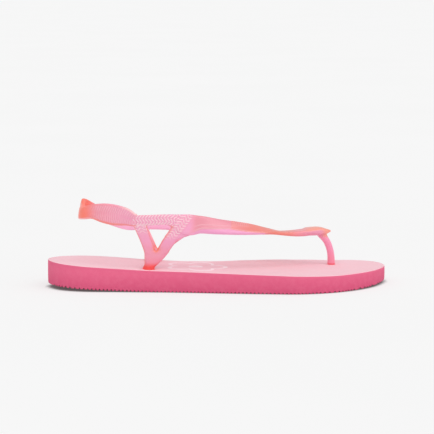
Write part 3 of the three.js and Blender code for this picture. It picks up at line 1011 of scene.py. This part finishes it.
class Nodes:
    """Short forms for building a node material."""

    def __init__(self, name):
        self.material = bpy.data.materials.new(name)
        self.material.use_nodes = True
        self.tree = self.material.node_tree
        self.shader = self.tree.nodes["Principled BSDF"]
        self.place = self.add("ShaderNodeTexCoord").outputs["Object"]

    def add(self, kind, **settings):
        node = self.tree.nodes.new(kind)
        for key, value in settings.items():
            setattr(node, key, value)
        return node

    def feed(self, socket, value):
        if isinstance(value, bpy.types.NodeSocket):
            self.tree.links.new(value, socket)
        else:
            socket.default_value = value

    def math(self, operation, a, b=0.0, c=0.0):
        node = self.add("ShaderNodeMath", operation=operation)
        for socket, value in zip(node.inputs, (a, b, c)):
            self.feed(socket, value)
        return node.outputs[0]

    def noise(self, scale, detail=3.0, roughness=0.55, stretch=(1, 1, 1)):
        mapping = self.add("ShaderNodeMapping")
        self.feed(mapping.inputs["Vector"], self.place)
        mapping.inputs["Scale"].default_value = stretch
        node = self.add("ShaderNodeTexNoise")
        self.feed(node.inputs["Vector"], mapping.outputs[0])
        node.inputs["Scale"].default_value = scale
        node.inputs["Detail"].default_value = detail
        node.inputs["Roughness"].default_value = roughness
        return node.outputs["Fac"]

    def pores(self, scale):
        node = self.add("ShaderNodeTexVoronoi")
        self.feed(node.inputs["Vector"], self.place)
        node.inputs["Scale"].default_value = scale
        return node.outputs["Distance"]

    def map(self, value, low, high, to_low=0.0, to_high=1.0):
        node = self.add("ShaderNodeMapRange", interpolation_type="SMOOTHSTEP")
        for key, item in zip(("Value", "From Min", "From Max", "To Min", "To Max"),
                             (value, low, high, to_low, to_high)):
            self.feed(node.inputs[key], item)
        return node.outputs["Result"]

    def blend(self, weight, a, b, kind="MIX"):
        node = self.add("ShaderNodeMix", data_type="RGBA", blend_type=kind)
        self.feed(node.inputs["Factor"], weight)
        for socket, value in ((node.inputs[6], a), (node.inputs[7], b)):
            self.feed(socket, value if isinstance(value, bpy.types.NodeSocket) else (*linear(value), 1))
        return node.outputs[2]

    def bump(self, height, strength, distance):
        node = self.add("ShaderNodeBump")
        self.feed(node.inputs["Height"], height)
        node.inputs["Strength"].default_value = strength
        node.inputs["Distance"].default_value = distance
        self.feed(self.shader.inputs["Normal"], node.outputs[0])

    def axis(self, index):
        node = self.add("ShaderNodeSeparateXYZ")
        self.feed(node.inputs[0], self.place)
        return node.outputs[index]


def foam_material():
    """Closed-cell foam rubber: deep pink, slightly lighter to the top, a painted shade that darkens it
    towards the ground, with fine cells and mottling.
    """
    n = Nodes("pink foam")
    # Painted shade: darker towards the bottom of the wall.
    height = n.map(n.axis(2), 0.0005, 0.016)
    colour = n.blend(height, FOAM_SHADED_LOW, FOAM_TOP)
    cells = n.map(n.pores(1600), 0.1, 0.55)
    mottle = n.map(n.noise(260, 4, 0.65), 0.35, 0.7)
    colour = n.blend(n.math("MULTIPLY", mottle, 0.14), colour, FOAM_MOTTLE)
    colour = n.blend(n.math("MULTIPLY", n.math("SUBTRACT", 1.0, cells), 0.10), colour, FOAM_CELL)
    n.feed(n.shader.inputs["Base Color"], colour)
    n.shader.inputs["Roughness"].default_value = 0.78
    n.shader.inputs["Specular IOR Level"].default_value = 0.3
    relief = n.math("ADD", cells, n.math("MULTIPLY", n.noise(900, 3), 0.8))
    n.bump(relief, 0.25, 0.00012)
    return n.material


def footbed_material():
    """Pale printed top sheet with a flower outline near the arch; its cut edge is foam pink low down."""
    n = Nodes("pale footbed")
    dx, dy = (n.math("SUBTRACT", n.axis(i), FLOWER_CENTRE[i]) for i in range(2))
    distance = n.math("SQRT", n.math("ADD", n.math("MULTIPLY", dx, dx), n.math("MULTIPLY", dy, dy)))
    turn = n.math("ARCTAN2", dy, dx)
    petals = n.math("ABSOLUTE", n.math("COSINE", n.math("MULTIPLY", turn, PETALS / 2)))
    edge = n.math("ADD", FLOWER_RADIUS, n.math("MULTIPLY", petals, PETAL_LENGTH))
    from_edge = n.math("ABSOLUTE", n.math("SUBTRACT", distance, edge))
    line = n.map(from_edge, PRINT_LINE, PRINT_LINE + PRINT_BLUR, 1.0, 0.0)
    heart = n.map(distance, HEART_RADIUS, HEART_RADIUS + PRINT_BLUR, 1.0, 0.0)
    worn = n.map(n.noise(160, 4), 0.25, 0.5, 0.6, 1.0)
    motif = n.math("MULTIPLY", n.math("MAXIMUM", line, heart), worn)
    speckle = n.map(n.noise(1400, 2), 0.3, 0.75)
    cloud = n.map(n.noise(28, 3), 0.3, 0.7)
    colour = n.blend(n.math("MULTIPLY", cloud, 0.35), FOOTBED_PINK, FOOTBED_CLOUD)
    colour = n.blend(n.math("MULTIPLY", speckle, 0.18), colour, FOOTBED_SPECK)
    colour = n.blend(motif, colour, PRINT_PINK)
    facing = n.add("ShaderNodeNewGeometry").outputs["Normal"]
    split = n.add("ShaderNodeSeparateXYZ")
    n.feed(split.inputs[0], facing)
    flat = n.map(split.outputs[2], 0.25, 0.6)
    colour = n.blend(flat, FOAM_TOP, colour)
    n.feed(n.shader.inputs["Base Color"], colour)
    n.shader.inputs["Roughness"].default_value = 0.7
    n.shader.inputs["Specular IOR Level"].default_value = 0.3
    n.bump(n.noise(1500, 3), 0.2, 0.0001)
    return n.material


def strap_material():
    """Soft glossy vinyl whose tint is painted on the mesh, with faint flow marks and scuffs, and a faint
    painted glow for light through it.
    """
    n = Nodes("strap vinyl")
    tint = n.add("ShaderNodeAttribute", attribute_name="tint").outputs["Color"]
    flow = n.map(n.noise(90, 4, 0.6, (0.25, 1, 1)), 0.3, 0.7)
    cloud = n.map(n.noise(35, 2), 0.3, 0.7)
    colour = n.blend(n.math("MULTIPLY", flow, 0.10), tint, VINYL_PALE)
    colour = n.blend(n.math("MULTIPLY", cloud, 0.08), colour, VINYL_WARM)
    n.feed(n.shader.inputs["Base Color"], colour)
    # Painted glow: the vinyl gives off a faint light in its own tint, standing in for light passing through
    # it.
    n.feed(n.shader.inputs["Emission Color"], colour)
    n.shader.inputs["Emission Strength"].default_value = 0.12
    n.shader.inputs["Roughness"].default_value = 0.3
    n.shader.inputs["Coat Weight"].default_value = 0.25
    n.shader.inputs["Coat Roughness"].default_value = 0.2
    scuff = n.math("ADD", n.noise(700, 3), n.math("MULTIPLY", flow, 0.6))
    n.bump(scuff, 0.12, 0.00008)
    return n.material


def floor_material():
    """A grey sweep that glows as far as its painted tint says, so that it looks white; under the sandal the
    glow drops to a painted contact shadow.
    """
    n = Nodes("white floor")
    glow = n.add("ShaderNodeAttribute", attribute_name="tint").outputs["Fac"]
    n.feed(n.shader.inputs["Base Color"], n.blend(n.noise(3, 2), FLOOR_GREY, FLOOR_CLOUD))
    n.shader.inputs["Emission Color"].default_value = (1, 1, 1, 1)
    n.feed(n.shader.inputs["Emission Strength"], n.math("MULTIPLY", glow, FLOOR_GLOW))
    n.shader.inputs["Roughness"].default_value = 0.9
    n.shader.inputs["Specular IOR Level"].default_value = 0.0
    return n.material


def dress(pieces, material):
    for piece in pieces:
        piece.data.materials.clear()
        piece.data.materials.append(material)


# ---------------------------------------------------------------- studio


def add_floor():
    """The floor, with a fine grid in the middle so that its glow can stop at the sandal's outline, leaving a
    painted shadow under the sandal.
    """
    far = 30000.0
    step = 2.5
    lines = [np.concatenate([[-far], np.arange(-reach, reach + 1, step), [far]]) for reach in (150, 70)]
    x, y = (grid.ravel() for grid in np.meshgrid(*lines))
    columns = len(lines[0])
    faces = [(a, a + 1, a + 1 + columns, a + columns)
             for a in range(len(x) - columns) if a % columns != columns - 1]
    edge, outward = sole_edge(12)
    gap_x, gap_y = x[:, None] - edge[:, 0], y[:, None] - edge[:, 1]
    nearest = np.argmin(np.hypot(gap_x, gap_y), 1)
    each = np.arange(len(x))
    gap = gap_x[each, nearest] * outward[nearest, 0] + gap_y[each, nearest] * outward[nearest, 1]
    floor = new_object("floor", np.stack([x, y, 0 * x], 1), faces)
    # Painted contact shadow: little glow under the sandal, fading back in just past its outline.
    glow = GLOW_IN_PAINTED_SHADOW + (1 - GLOW_IN_PAINTED_SHADOW) * smoothstep(-1.5, 2.5, gap)
    paint(floor, np.repeat(glow[:, None], 3, 1))
    to_metres(floor)
    dress([floor], floor_material())


def add_sun(name, strength, softness, elevation, azimuth):
    """A soft sun. Azimuth 0 shines from the camera's side (-Y), 90 from the toe's side (+X)."""
    light = bpy.data.lights.new(name, "SUN")
    light.energy = strength
    light.angle = math.radians(softness)
    lamp = bpy.data.objects.new(name, light)
    bpy.context.collection.objects.link(lamp)
    e, a = math.radians(elevation), math.radians(azimuth)
    towards = Vector((math.sin(a) * math.cos(e), -math.cos(a) * math.cos(e), math.sin(e)))
    lamp.rotation_euler = towards.to_track_quat("Z", "Y").to_euler()


def add_world(strength):
    world = bpy.data.worlds.new("studio")
    world.use_nodes = True
    bpy.context.scene.world = world
    background = world.node_tree.nodes["Background"]
    background.inputs[0].default_value = (1, 1, 1, 1)
    background.inputs[1].default_value = strength


def add_camera():
    target = Vector((-0.00045, 0, 0.0508))
    distance = 1.5
    elevation = math.radians(6.9)
    frame_width = 0.3201
    camera = bpy.data.cameras.new("camera")
    holder = bpy.data.objects.new("camera", camera)
    bpy.context.collection.objects.link(holder)
    back = Vector((0, -math.cos(elevation), math.sin(elevation)))
    holder.location = target + back * distance
    holder.rotation_euler = back.to_track_quat("Z", "Y").to_euler()
    camera.sensor_width = 36
    camera.lens = camera.sensor_width * distance / frame_width
    bpy.context.scene.camera = holder


add_floor()
add_world(strength=0.65)
add_sun("key", strength=1.0, softness=70, elevation=55, azimuth=10)
add_sun("fill", strength=0.4, softness=40, elevation=45, azimuth=75)
add_camera()
bpy.context.scene.view_settings.view_transform = "Standard"

outsole, midsole, footbed = make_sole()
dress([outsole, midsole], foam_material())
dress([footbed], footbed_material())

vinyl = strap_material()
strap_pieces = [make_sling(), *make_strap()]
dress(strap_pieces, vinyl)
